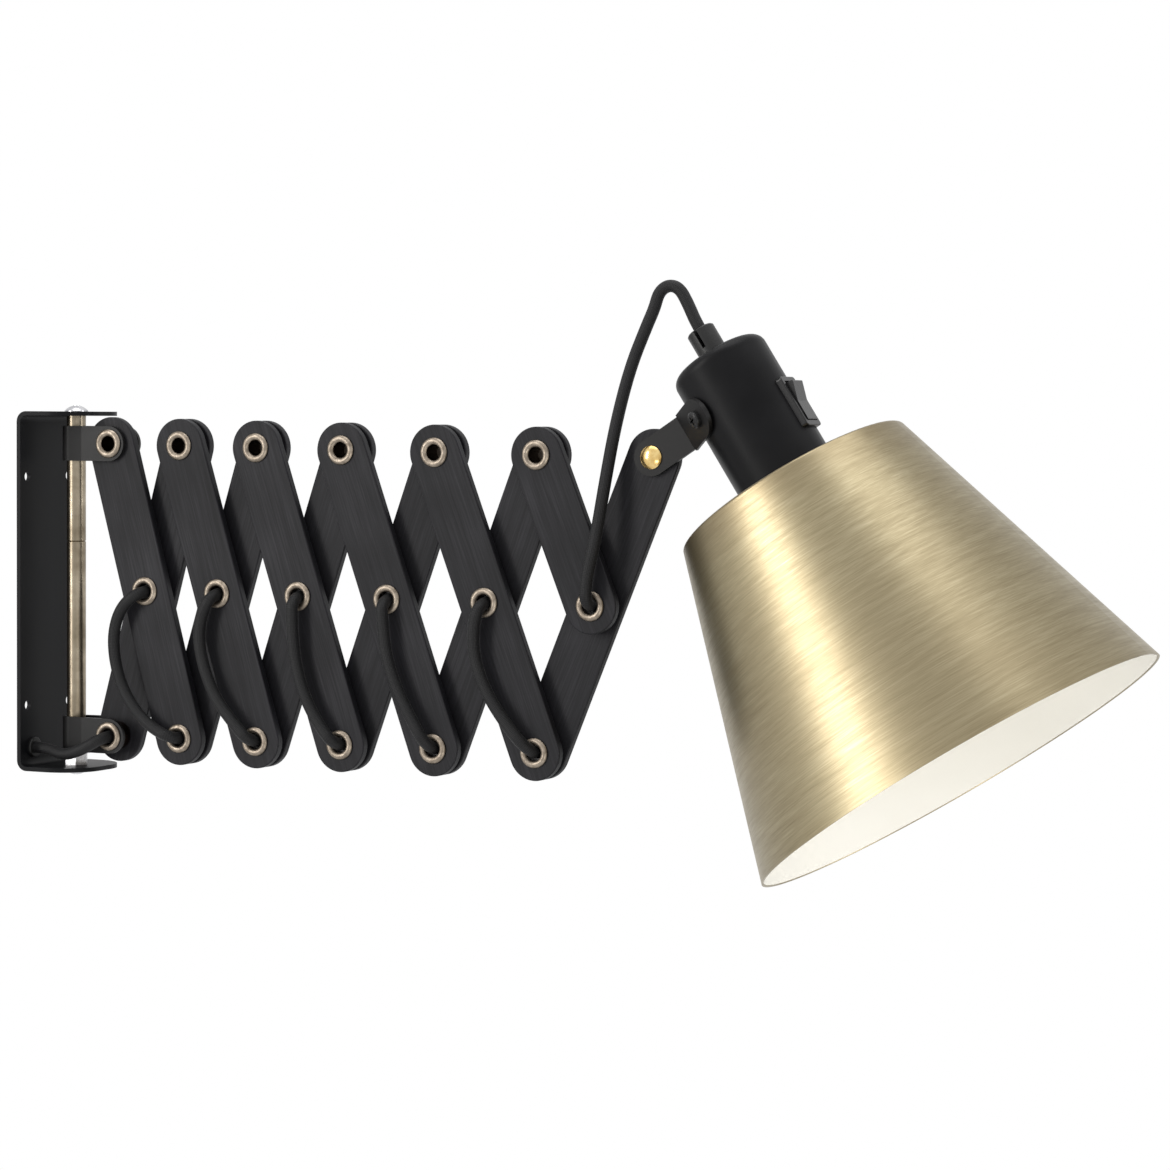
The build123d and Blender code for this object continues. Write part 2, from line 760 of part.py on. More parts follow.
with BuildPart() as centre_contact:
    with BuildSketch(head.offset(holder_top + holder_base)):
        Circle(contact_diameter / 2)
    extrude(amount=contact_height)
    fillet(centre_contact.edges().group_by(head_axis)[-1], radius=1)
save(centre_contact, "centre_contact")

with BuildPart() as shade_ring:
    with BuildSketch(head.offset(ring_top)):
        Circle(ring_diameter / 2)
        Circle(holder_radius + running_play, mode=Mode.SUBTRACT)
        with PolarLocations(ring_diameter / 2, 16):
            Circle(1.2, mode=Mode.SUBTRACT)
    extrude(amount=ring_height)
save(shade_ring, "shade_ring")

# ---------------------------------------------------------------- shade

shade_slope = (shade_mouth - shade_top) / 2 / shade_height
shade_skin = shade_wall * (1 + shade_slope**2) ** 0.5  # the wall, measured square to the axis
shade_end = shade_seat + shade_height

with BuildPart() as shade:
    section_revolve(
        (holder_radius + side_play, shade_seat),
        (shade_top / 2, shade_seat),
        (shade_mouth / 2, shade_end),
        (shade_mouth / 2 - shade_skin, shade_end),
        (shade_top / 2 + shade_slope * shade_wall - shade_skin, ring_top),
        (holder_radius + side_play, ring_top),
    )
    rims = shade.edges().filter_by(GeomType.CIRCLE)
    outer_rim = rims.filter_by(lambda rim: abs(rim.radius - shade_top / 2) < shade_wall / 10)
    fillet(outer_rim, radius=1.6)
save(shade, "shade")

# ---------------------------------------------------------------- cord


def cord(points, label):
    """Round cord along straight runs, each corner as wide as its two runs allow."""
    corners = [Vector(*point) for point in points]
    runs = [after - before for before, after in zip(corners, corners[1:])]
    turns = [one.get_angle(other) for one, other in zip(runs, runs[1:])]
    radii = [
        0.45 * min(one.length, other.length) / tan(radians(turn) / 2)
        for one, other, turn in zip(runs, runs[1:], turns)
    ]
    with BuildPart() as tube:
        with BuildLine():
            route = FilletPolyline(*corners, radius=radii)
        with BuildSketch(Plane(origin=route @ 0, z_dir=route % 0)):
            Circle(cord_diameter / 2)
        sweep(path=route)
    straight_volume = route.length * pi * cord_diameter**2 / 4
    print(
        label,
        "radii",
        [round(radius, 1) for radius in radii],
        "volume ratio",
        round(tube.part.volume / straight_volume, 5),
    )
    save(tube, label)


# Points of each front stretch, from the middle rivet, away from the wall and up.
front_routes = (
    ((-9.6, -7), (-14, -18.5), (-13.6, -31), (-9.6, -44.5), (-1.6, -56), (7.5, -63.5)),
    ((-5.4, -9.6), (-6.8, -22), (-3.6, -35.2), (2.9, -48.8), (12.7, -59.8)),
    ((-0.1, -11.5), (1.3, -27.9), (6.1, -44.1), (14, -57.5)),
    ((0.8, -11.3), (2.6, -24.7), (7.3, -38.1), (14.2, -50.9)),
    ((-2.9, -11.1), (-2.3, -24), (2.7, -37.2), (10.8, -49.7)),
)
for cell, shape in enumerate(front_routes, 1):
    (x, z), (low_x, low_z) = middle_pivot(cell), bottom_pivot(cell)
    cord(
        [(x, bore_meet_y, z), (x, front_cord_y, z)]
        + [(x + dx, front_cord_y, z + dz) for dx, dz in shape]
        + [(low_x, front_cord_y, low_z), (low_x, bore_meet_y, low_z)],
        f"cord_front_{cell}",
    )

# Points of a rear stretch: how far along it, from its lower rivet, and how much of the bow.
rear_shape = ((0.19, 0.62), (0.41, 1), (0.62, 0.97), (0.82, 0.59))
rear_bows = (1, -0.7, 1.2, 0.8, -1, 0.9)
for cell in range(1, cells + 1):
    (low_x, low_z), (x, z) = bottom_pivot(cell - 1), middle_pivot(cell)
    lean = spread(cell)
    out_y = rear_cord_y + (collar_y - back_y if cell == 1 else 0)
    points = [(low_x, bore_meet_y, low_z), (low_x, out_y, low_z)]
    for along, share in rear_shape:
        bow = rear_bow * rear_bows[cell - 1] * share
        points.append(
            (
                low_x + along * (x - low_x) + bow * cos(lean),
                out_y + along * (rear_cord_y - out_y),
                low_z + along * (z - low_z) - bow * sin(lean),
            )
        )
    points += [(x, rear_cord_y, z), (x, bore_meet_y, z)]
    cord(points, f"cord_rear_{cell}")

low_x, low_z = bottom_pivot(0)
cord(
    [
        (low_x, bore_meet_y, low_z),
        (low_x, -12.4, low_z),
        (low_x - 10, -15.4, low_z - 6.4),
        (low_x - 20.5, -15, low_z - 9.4),
        (9.5, grommet_y, grommet_z),
        (0.3, grommet_y, grommet_z),
    ],
    "cord_lead",
)

# Points of the loop to the head: first from the last middle rivet, away from the wall and up,
# then from the top of the cup, away from the arm, to the front and down the head's axis.
loop_start = ((0.6, -10.9, 12.6), (4.6, -10.2, 29), (7.8, -7, 55.6), (10.7, -3, 80))
loop_end = (
    (-34.5, 6.6, -16.7),
    (-19.5, 3.1, -28.5),
    (-12.3, 1.6, -33.7),
    (-7.2, 0.7, -38.6),
    (-1.8, 0.1, -38.9),
    (1.9, 0, -34.8),
    (1.5, 0, -26.6),
    (0, 0, -grip_length - 2),
    (0, 0, nipple_length + 4),
)
last_x, last_z = middle_pivot(cells)
cord(
    [(last_x, bore_meet_y, last_z), (last_x, front_cord_y, last_z)]
    + [(last_x + dx, y, last_z + dz) for dx, y, dz in loop_start]
    + [tuple(head.from_local_coords(point)) for point in loop_end],
    "cord_head_loop",
)
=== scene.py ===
import math

import bpy
from mathutils import Matrix, Vector


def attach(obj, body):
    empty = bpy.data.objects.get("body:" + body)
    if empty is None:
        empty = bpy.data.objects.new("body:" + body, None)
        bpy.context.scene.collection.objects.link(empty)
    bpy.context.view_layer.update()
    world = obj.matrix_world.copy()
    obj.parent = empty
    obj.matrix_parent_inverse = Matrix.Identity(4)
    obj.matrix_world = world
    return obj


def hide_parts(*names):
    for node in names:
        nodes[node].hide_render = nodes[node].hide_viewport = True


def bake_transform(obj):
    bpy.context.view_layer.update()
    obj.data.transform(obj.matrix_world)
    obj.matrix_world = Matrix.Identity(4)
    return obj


# Looks of the accordion wall lamp, in metres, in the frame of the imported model.

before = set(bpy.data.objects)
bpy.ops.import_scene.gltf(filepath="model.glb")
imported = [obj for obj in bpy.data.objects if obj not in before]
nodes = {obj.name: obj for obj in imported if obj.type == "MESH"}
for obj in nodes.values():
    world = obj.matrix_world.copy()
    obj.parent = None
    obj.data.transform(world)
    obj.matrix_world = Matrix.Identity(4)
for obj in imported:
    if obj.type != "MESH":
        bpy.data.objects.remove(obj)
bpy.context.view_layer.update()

# ---------------------------------------------------------------- sizes shared with the solids

CELLS = 6
HALF_WALL, HALF_LAMP, REST_ANGLE = 0.0713, 0.07072, math.radians(15.35)
FIRST_X, LOWER_Z = 0.041, -0.0678
CORD = 0.0055
CORD_SIDES = 24
FRONT_Y, REAR_Y = -0.0106, 0.0112


def spread(cell):
    return math.acos(math.cos(REST_ANGLE) * (HALF_LAMP / HALF_WALL) ** (cell - 1))


MIDDLE_Z = LOWER_Z + HALF_WALL * math.cos(spread(1))


def end_x(cell):
    return FIRST_X + (HALF_WALL + HALF_LAMP) * sum(math.sin(spread(n)) for n in range(1, cell + 1))


def middle_pivot(cell):
    return end_x(cell - 1) + HALF_WALL * math.sin(spread(cell)), MIDDLE_Z


def bottom_pivot(number):
    if number == 0:
        return FIRST_X, LOWER_Z
    return end_x(number), MIDDLE_Z - HALF_LAMP * math.cos(spread(number))


TILT = math.radians(33.2)
CUP_OUT, CUP_RISE, CUP_BACK = 0.0462, 0.022, 0.008
AXIS = Vector((math.sin(TILT), 0, -math.cos(TILT)))
SIDE = Vector((math.cos(TILT), 0, math.sin(TILT)))
head_pivot = Vector((end_x(CELLS), 0, MIDDLE_Z + HALF_LAMP * math.cos(spread(CELLS))))
CUP_TOP = head_pivot + SIDE * CUP_OUT - AXIS * CUP_RISE
CUP_TOP.y = CUP_BACK


def on_head(x, y, drop):
    """Point from the head's axis: x away from the arm, y to the front, drop below the cup's top."""
    return CUP_TOP + SIDE * x + Vector((0, -y, 0)) + AXIS * drop


# ---------------------------------------------------------------- material tools


class Shader:
    """One material, built node by node."""

    def __init__(self, name):
        self.material = bpy.data.materials.new(name)
        self.material.use_nodes = True
        self.tree = self.material.node_tree
        self.main = self.tree.nodes["Principled BSDF"]

    def node(self, kind, settings=None, **inputs):
        """New node with its inputs fed by name, or by number as i0, i1 and so on."""
        made = self.tree.nodes.new(kind)
        for key, value in (settings or {}).items():
            setattr(made, key, value)
        for key, value in inputs.items():
            slot = made.inputs[int(key[1:])] if key[0] == "i" and key[1:].isdigit() else made.inputs[key]
            self.feed(slot, value)
        return made

    def feed(self, slot, value):
        if isinstance(value, bpy.types.NodeSocket):
            self.tree.links.new(value, slot)
        else:
            slot.default_value = value

    def place(self):
        return self.node("ShaderNodeTexCoord").outputs["Object"]

    def math(self, operation, a, b=0.0):
        return self.node("ShaderNodeMath", {"operation": operation}, i0=a, i1=b).outputs[0]

    def vector(self, operation, a, b=(0, 0, 0), scale=None):
        made = self.node("ShaderNodeVectorMath", {"operation": operation}, i0=a, i1=b)
        if scale is not None:
            self.feed(made.inputs["Scale"], scale)
        return made.outputs["Value" if operation in ("DOT_PRODUCT", "LENGTH") else "Vector"]

    def join(self, x, y, z):
        return self.node("ShaderNodeCombineXYZ", X=x, Y=y, Z=z).outputs[0]

    def split(self, vector):
        return self.node("ShaderNodeSeparateXYZ", i0=vector).outputs

    def noise(self, vector, scale=1.0, detail=2.0, rough=0.5):
        return self.node(
            "ShaderNodeTexNoise", Vector=vector, Scale=scale, Detail=detail, Roughness=rough
        ).outputs["Fac"]

    def stretched(self, ways, scales, seed):
        """Place made of three measures, each with a scale of its own, and shifted by seed."""
        run, across, depth = (self.math("MULTIPLY", way, scale) for way, scale in zip(ways, scales))
        return self.join(run, across, self.math("ADD", depth, seed))

    def spread(self, value, low, high, to_low=0.0, to_high=1.0):
        return self.node(
            "ShaderNodeMapRange", {"clamp": True}, i0=value, i1=low, i2=high, i3=to_low, i4=to_high
        ).outputs[0]

    def mix(self, share, one, other):
        made = self.node("ShaderNodeMix", {"data_type": "RGBA"})
        self.feed(made.inputs[0], share)
        self.feed(made.inputs[6], one)
        self.feed(made.inputs[7], other)
        return made.outputs[2]

    def ramp(self, value, *stops):
        made = self.node("ShaderNodeValToRGB", Fac=value)
        band = made.color_ramp
        while len(band.elements) < len(stops):
            band.elements.new(0.5)
        for element, (position, colour) in zip(band.elements, stops):
            element.position = position
            element.color = (*colour, 1)
        return made.outputs[0]

    def bump(self, height, distance, strength):
        return self.node("ShaderNodeBump", Height=height, Distance=distance, Strength=strength).outputs[0]

    def set(self, **sockets):
        for key, value in sockets.items():
            self.feed(self.main.inputs[key.replace("_", " ")], value)


def dress(shader, *names):
    for name in names:
        slots = nodes[name].data.materials
        slots.clear()
        slots.append(shader.material)


# ---------------------------------------------------------------- black stained bars


def stained_wood(name, origin, along, seed):
    """Charcoal stain over close grain that runs along the bar."""
    wood = Shader(name)
    wood.set(Metallic=0.0)
    local = wood.vector("SUBTRACT", wood.place(), origin)
    run = wood.vector("DOT_PRODUCT", local, along)
    across = wood.vector("DOT_PRODUCT", local, (along[2], 0, -along[0]))
    depth = wood.vector("DOT_PRODUCT", local, (0, 1, 0))
    curl = wood.join(wood.math("MULTIPLY", run, 9.0), wood.math("MULTIPLY", across, 30.0), seed)
    warp = wood.noise(curl)
    bent = wood.math("ADD", across, wood.math("MULTIPLY", warp, 0.0016))
    ways = (run, bent, depth)
    fine = wood.noise(wood.stretched(ways, (38.0, 1500.0, 700.0), seed), 1.0, 3.0, 0.62)
    broad = wood.noise(wood.stretched(ways, (11.0, 330.0, 200.0), seed + 7))
    cloudy = wood.noise(wood.place(), 26.0)
    tone = wood.math(
        "ADD", wood.math("MULTIPLY", fine, 0.5),
        wood.math("ADD", wood.math("MULTIPLY", broad, 0.2), wood.math("MULTIPLY", cloudy, 0.3)),
    )
    wood.set(
        Base_Color=wood.ramp(
            tone,
            (0.32, (0.0034, 0.0034, 0.0042)),
            (0.50, (0.0078, 0.0076, 0.0096)),
            (0.68, (0.018, 0.0175, 0.0215)),
        ),
        Roughness=wood.spread(tone, 0.35, 0.65, 0.60, 0.48),
        Normal=wood.bump(fine, 0.00006, 0.5),
    )
    wood.main.inputs["Specular IOR Level"].default_value = 0.22
    return wood


for cell in range(1, CELLS + 1):
    x, z = middle_pivot(cell)
    lean = spread(cell)
    for side, rise in (("front", -1), ("rear", 1)):
        grain = stained_wood(
            f"stained_wood_{side}_{cell}", (x, 0, z), (math.sin(lean), 0, rise * math.cos(lean)),
            cell * 3.7 + (1.9 if rise > 0 else 0),
        )
        dress(grain, f"{side}_bar_{cell}")

# ---------------------------------------------------------------- metals, paint and plastic


def painted(name, colour, roughness, grain, size=1600.0, gloss=0.30):
    """Powder coat: even colour with a fine orange-peel surface."""
    paint = Shader(name)
    peel = paint.noise(paint.place(), size, 2.0)
    patch = paint.noise(paint.place(), 42.0, 3.0)
    lighter = tuple(min(1.0, channel * 1.45 + 0.002) for channel in colour)
    paint.set(
        Base_Color=paint.mix(paint.spread(patch, 0.3, 0.7), (*colour, 1), (*lighter, 1)),
        Roughness=paint.spread(patch, 0.3, 0.7, roughness - 0.04, roughness + 0.05),
        Normal=paint.bump(peel, grain, 0.4),
    )
    paint.main.inputs["Specular IOR Level"].default_value = gloss
    return paint


def metal(name, dark, light, roughness, patina=120.0, grain=0.00003, scratch=None):
    """Plain metal with uneven tarnish, and fine scratches along one direction if wanted."""
    made = Shader(name)
    made.set(Metallic=1.0)
    place = made.place()
    tarnish = made.noise(place, patina, 4.0, 0.6)
    if scratch is None:
        marks = made.noise(place, 2600.0, 2.0)
    else:
        stretched = made.vector("MULTIPLY", place, scratch)
        marks = made.noise(stretched, 1.0, 3.0, 0.6)
    made.set(
        Base_Color=made.mix(made.spread(tarnish, 0.32, 0.66), (*dark, 1), (*light, 1)),
        Roughness=made.spread(
            made.math("ADD", made.math("MULTIPLY", tarnish, 0.6), made.math("MULTIPLY", marks, 0.4)),
            0.3, 0.7, roughness + 0.1, roughness - 0.06,
        ),
        Normal=made.bump(marks, grain, 0.5),
    )
    return made


# One satin black powder coat in three copies: the plate and the cup are darker as painted shade, and the
# straps and head bracket are lighter as painted light.
dress(painted("satin_black_plate_painted_shade", (0.0040, 0.0042, 0.0050), 0.42, 0.000012, gloss=0.10), "wall_plate")
dress(painted("satin_black_strap_painted_light", (0.0070, 0.0068, 0.0070), 0.42, 0.000012, gloss=0.22),
      "upper_strap", "lower_strap", "head_bracket")
dress(painted("satin_black_cup_painted_shade", (0.0036, 0.0036, 0.0042), 0.38, 0.000008, 2400.0, 0.12), "lamp_cup")
dress(painted("black_screw", (0.0080, 0.0080, 0.0085), 0.33, 0.000008), "tab_screw", "grip_nut")
dress(metal("antique_tube", (0.16, 0.13, 0.09), (0.36, 0.31, 0.235), 0.28, 60.0, 0.00003, (2600, 2600, 90)),
      "lower_tube", "upper_tube")
dress(metal("polished_brass", (0.62, 0.40, 0.13), (0.83, 0.62, 0.27), 0.20, 300.0),
      "head_pivot_screw", "head_pivot_nut")
dress(metal("contact_brass", (0.55, 0.43, 0.24), (0.72, 0.60, 0.38), 0.3, 200.0),
      "screw_shell", "centre_contact", "switch_terminals")
dress(metal("zinc_plate", (0.48, 0.48, 0.50), (0.72, 0.72, 0.74), 0.27, 160.0), "base_nut", "base_washer")
dress(metal("turned_steel", (0.38, 0.38, 0.39), (0.62, 0.62, 0.63), 0.3, 160.0), "pivot_rod")
dress(metal("chromed_screw", (0.42, 0.42, 0.44), (0.68, 0.68, 0.70), 0.2, 260.0), "bracket_screws")

# The rivets' rolled heads face along the lamp's depth and keep the metal's tarnished colour; the walls of
# their bores and the rims get painted shade, a near-black brown.
rivet_tarnish_and_shade = metal("rivet_tarnish_painted_shade", (0.17, 0.14, 0.11), (0.34, 0.29, 0.235), 0.42, 420.0, 0.00003)
facing_y = rivet_tarnish_and_shade.math("ABSOLUTE", rivet_tarnish_and_shade.split(rivet_tarnish_and_shade.node("ShaderNodeTexCoord").outputs["Normal"])[1])
rivet_metal = rivet_tarnish_and_shade.main.inputs["Base Color"].links[0].from_socket
# Painted shade: where a surface turns away from the depth axis, it is mixed to near-black brown.
rivet_tarnish_and_shade.set(Base_Color=rivet_tarnish_and_shade.mix(rivet_tarnish_and_shade.spread(facing_y, 0.15, 0.55), (0.022, 0.012, 0.008, 1), rivet_metal))
dress(rivet_tarnish_and_shade, "upper_rivet", "lower_rivet", "upper_spacer", "lower_spacer",
      *[f"rivets_{cell}" for cell in range(1, CELLS + 1)])


def moulded(name, colour, roughness, size=2200.0):
    plastic = Shader(name)
    skin = plastic.noise(plastic.place(), size, 2.0)
    cloud = plastic.noise(plastic.place(), 90.0, 2.0)
    lighter = tuple(channel * 1.5 for channel in colour)
    plastic.set(
        Base_Color=plastic.mix(cloud, (*colour, 1), (*lighter, 1)),
        Roughness=plastic.spread(skin, 0.3, 0.7, roughness - 0.03, roughness + 0.05),
        Normal=plastic.bump(skin, 0.000006, 0.3),
    )
    plastic.main.inputs["Specular IOR Level"].default_value = 0.35
    return plastic


dress(moulded("grip_plastic", (0.010, 0.010, 0.010), 0.38), "cord_grip", "cord_grommet")
dress(moulded("switch_plastic", (0.009, 0.009, 0.0095), 0.30), "switch_housing")
dress(moulded("rocker_plastic", (0.012, 0.012, 0.0125), 0.24, 3200.0), "rocker")
dress(moulded("holder_plastic", (0.014, 0.014, 0.014), 0.42), "lampholder", "shade_ring")

# ---------------------------------------------------------------- shade: brushed outside, white inside

SHADE_SEAT, SHADE_HEIGHT, TOP_BAND = 0.0672, 0.1417, 0.020
SHADE_END = SHADE_SEAT + SHADE_HEIGHT
RIM = 0.0004
brass = Shader("brushed_shade")
place = brass.place()
local = brass.vector("SUBTRACT", place, tuple(CUP_TOP))
drop = brass.vector("DOT_PRODUCT", local, tuple(AXIS))
radial = brass.vector("SUBTRACT", local, brass.vector("SCALE", tuple(AXIS), scale=drop))
outward = brass.vector("NORMALIZE", radial)
normal = brass.node("ShaderNodeTexCoord").outputs["Normal"]
facing = brass.math(
    "SUBTRACT", brass.vector("DOT_PRODUCT", normal, outward), brass.vector("DOT_PRODUCT", normal, tuple(AXIS))
)
inside = brass.math(
    "MULTIPLY", brass.math("LESS_THAN", facing, 0.0), brass.math("LESS_THAN", drop, SHADE_END - RIM)
)
# Hair lines run round the cone: they change quickly down it and slowly round it.
ring_place = brass.vector("SCALE", outward, scale=0.09)


def hair_place(round_scale, down_scale, shift=(0.0, 0.0)):
    down = brass.join(*shift, brass.math("MULTIPLY", drop, down_scale))
    return brass.vector("ADD", brass.vector("MULTIPLY", ring_place, (round_scale,) * 3), down)


hair = brass.noise(hair_place(60, 2100.0), 1.0, 4.0, 0.7)
hair_broad = brass.noise(hair_place(34, 420.0, (3.0, 5.0)), 1.0, 3.0, 0.6)
smoke = brass.noise(place, 13.0, 3.0)
lines = brass.math("ADD", brass.math("MULTIPLY", hair, 0.6), brass.math("MULTIPLY", hair_broad, 0.4))
gold = brass.ramp(
    lines, (0.30, (0.190, 0.157, 0.094)), (0.50, (0.268, 0.228, 0.142)), (0.72, (0.370, 0.325, 0.215))
)
gold = brass.mix(brass.spread(smoke, 0.25, 0.75, 0.0, 0.30), gold, (0.22, 0.172, 0.105, 1))
# Darker and browner towards the top edge.
top_shade = brass.spread(drop, SHADE_SEAT, SHADE_SEAT + TOP_BAND, 0.45, 0.0)
gold = brass.mix(top_shade, gold, (0.185, 0.142, 0.085, 1))
enamel = brass.mix(brass.noise(place, 40.0, 2.0), (0.95, 0.93, 0.86, 1), (0.98, 0.96, 0.90, 1))
brass.set(
    Base_Color=brass.mix(inside, gold, enamel),
    Metallic=brass.math("SUBTRACT", 1.0, inside),
    Roughness=brass.math(
        "ADD", brass.spread(lines, 0.3, 0.7, 0.36, 0.27), brass.math("MULTIPLY", inside, 0.2)
    ),
    Normal=brass.bump(lines, 0.00005, 0.35),
    Tangent=brass.vector("NORMALIZE", brass.vector("CROSS_PRODUCT", tuple(AXIS), outward)),
)
brass.main.inputs["Anisotropic"].default_value = 0.55
dress(brass, "shade")

# ---------------------------------------------------------------- cord

cord_look = Shader("woven_cord")
weave = cord_look.node("ShaderNodeTexCoord").outputs["UV"]
STRANDS = 12
strands = [cord_look.math("MULTIPLY", way, STRANDS) for way in cord_look.split(weave)[:2]]


def slant(operation):
    """Wave across the strands that run one way round the cord."""
    turned = cord_look.math("MULTIPLY", cord_look.math(operation, *strands), 2 * math.pi)
    return cord_look.math("SINE", turned)


braid = cord_look.math("MULTIPLY", slant("ADD"), slant("SUBTRACT"))
fuzz = cord_look.noise(cord_look.place(), 3000.0)
height = cord_look.math("ADD", cord_look.spread(braid, -1, 1), cord_look.math("MULTIPLY", fuzz, 0.4))
cord_look.set(
    Base_Color=cord_look.ramp(
        height, (0.2, (0.0022, 0.0022, 0.0026)), (0.7, (0.0060, 0.0060, 0.0068)), (1.0, (0.012, 0.012, 0.013))
    ),
    Roughness=cord_look.spread(height, 0.2, 1.1, 0.62, 0.5),
    Normal=cord_look.bump(height, 0.00018, 0.6),
)
cord_look.main.inputs["Sheen Weight"].default_value = 0.04
cord_look.main.inputs["Sheen Roughness"].default_value = 0.4
cord_look.main.inputs["Specular IOR Level"].default_value = 0.25


def smooth_line(points):
    """Points along the smooth curve that a round cord follows through its route."""
    data = bpy.data.curves.new("route", "CURVE")
    data.dimensions = "3D"
    data.resolution_u = 14
    spline = data.splines.new("NURBS")
    spline.points.add(len(points) - 1)
    for point, co in zip(spline.points, points):
        point.co = (*co, 1)
    spline.order_u = 3
    spline.use_endpoint_u = True
    holder = bpy.data.objects.new("route", data)
    bpy.context.scene.collection.objects.link(holder)
    bpy.context.view_layer.update()
    line = bpy.data.meshes.new_from_object(holder)
    found = [vertex.co.copy() for vertex in line.vertices]
    bpy.data.objects.remove(holder)
    bpy.data.curves.remove(data)
    bpy.data.meshes.remove(line)
    return found


def cord_tube(name, points):
    """Tube along the smooth curve, with its weave unrolled as a UV map."""
    line = smooth_line(points)
    radius, sides = CORD / 2, CORD_SIDES
    tangents = []
    for index in range(len(line)):
        before, after = line[max(index - 1, 0)], line[min(index + 1, len(line) - 1)]
        tangents.append((after - before).normalized())
    side = tangents[0].orthogonal().normalized()
    verts, faces, uvs = [], [], []
    travelled = [0.0]
    for before, after in zip(line, line[1:]):
        travelled.append(travelled[-1] + (after - before).length)
    for centre, tangent in zip(line, tangents):
        side = (side - tangent * side.dot(tangent)).normalized()
        other = tangent.cross(side)
        for step in range(sides):
            angle = 2 * math.pi * step / sides
            verts.append(centre + (side * math.cos(angle) + other * math.sin(angle)) * radius)
    girth = 2 * math.pi * radius
    for ring in range(len(line) - 1):
        for step in range(sides):
            nxt = (step + 1) % sides
            here, there = ring * sides, (ring + 1) * sides
            faces.append((here + step, here + nxt, there + nxt, there + step))
            low, high = travelled[ring] / girth, travelled[ring + 1] / girth
            first, last = step / sides, (step + 1) / sides
            uvs += [(first, low), (last, low), (last, high), (first, high)]
    for start, order in ((0, range(sides - 1, -1, -1)), ((len(line) - 1) * sides, range(sides))):
        faces.append(tuple(start + step for step in order))
        uvs += [(0.5, 0.5)] * sides
    mesh = bpy.data.meshes.new(name)
    mesh.from_pydata([tuple(vert) for vert in verts], [], faces)
    layer = mesh.uv_layers.new(name="weave")
    for loop, uv in zip(layer.data, uvs):
        loop.uv = uv
    for polygon in mesh.polygons:
        polygon.use_smooth = len(polygon.vertices) == 4
    mesh.materials.append(cord_look.material)
    tube = bpy.data.objects.new(name, mesh)
    bpy.context.scene.collection.objects.link(tube)
    return tube


# Bends of each front stretch, in millimetres from the middle pivot that it hangs from.
FRONT_ROUTES = (
    ((-9.6, -7), (-14, -18.5), (-13.6, -31), (-9.6, -44.5), (-1.6, -56), (7.5, -63.5)),
    ((-5.4, -9.6), (-6.8, -22), (-3.6, -35.2), (2.9, -48.8), (12.7, -59.8)),
    ((-0.1, -11.5), (1.3, -27.9), (6.1, -44.1), (14, -57.5)),
    ((0.8, -11.3), (2.6, -24.7), (7.3, -38.1), (14.2, -50.9)),
    ((-2.9, -11.1), (-2.3, -24), (2.7, -37.2), (10.8, -49.7)),
)
for cell, shape in enumerate(FRONT_ROUTES, 1):
    (x, z), (low_x, low_z) = middle_pivot(cell), bottom_pivot(cell)
    tube = cord_tube(
        f"cord_front_look_{cell}",
        [(x, 0, z), (x, FRONT_Y, z)]
        + [(x + dx / 1000, FRONT_Y, z + dz / 1000) for dx, dz in shape]
        + [(low_x, FRONT_Y, low_z), (low_x, 0, low_z)],
    )
    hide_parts(f"cord_front_{cell}")
    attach(tube, f"front_arm_{cell}")

# Shares of the way up each rear stretch, with the share of its bow there.
REAR_SHAPE = ((0.19, 0.62), (0.41, 1), (0.62, 0.97), (0.82, 0.59))
REAR_BOW = 0.0039
REAR_BOWS = (1, -0.7, 1.2, 0.8, -1, 0.9)
FIRST_REAR_OUT = 0.0021
for cell in range(1, CELLS + 1):
    (low_x, low_z), (x, z) = bottom_pivot(cell - 1), middle_pivot(cell)
    lean = spread(cell)
    out_y = REAR_Y + (FIRST_REAR_OUT if cell == 1 else 0)
    route = [(low_x, 0, low_z), (low_x, out_y, low_z)]
    for along, share in REAR_SHAPE:
        bow = REAR_BOW * REAR_BOWS[cell - 1] * share
        route.append((
            low_x + along * (x - low_x) + bow * math.cos(lean),
            out_y + along * (REAR_Y - out_y),
            low_z + along * (z - low_z) - bow * math.sin(lean),
        ))
    route += [(x, REAR_Y, z), (x, 0, z)]
    tube = cord_tube(f"cord_rear_look_{cell}", route)
    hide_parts(f"cord_rear_{cell}")
    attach(tube, f"rear_arm_{cell}")

lead = cord_tube(
    "cord_lead_look",
    [(FIRST_X, 0, LOWER_Z), (FIRST_X, -0.0124, LOWER_Z), (0.031, -0.0154, -0.0742),
     (0.0205, -0.015, -0.0772), (0.0095, -0.012, -0.0743), (0.0003, -0.012, -0.0743)],
)
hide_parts("cord_lead")
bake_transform(lead)

last_x, last_z = middle_pivot(CELLS)
loop = cord_tube(
    "cord_loop_look",
    [(last_x, 0, last_z), (last_x, FRONT_Y, last_z), (0.2916, -0.0109, 0.0136), (0.2956, -0.0102, 0.030),
     (0.2988, -0.007, 0.0566), (0.3017, -0.003, 0.081), (0.3063, 0.0014, 0.1052), (0.3124, 0.0049, 0.1233),
     (0.3156, 0.0064, 0.1316), (0.3172, 0.0073, 0.1385), (0.3215, 0.0079, 0.1417), (0.3268, 0.008, 0.1403),
     (0.331, 0.008, 0.1332), tuple(on_head(0, 0, -0.016)), tuple(on_head(0, 0, 0.012))],
)
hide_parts("cord_head_loop")
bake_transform(loop)

# ---------------------------------------------------------------- camera

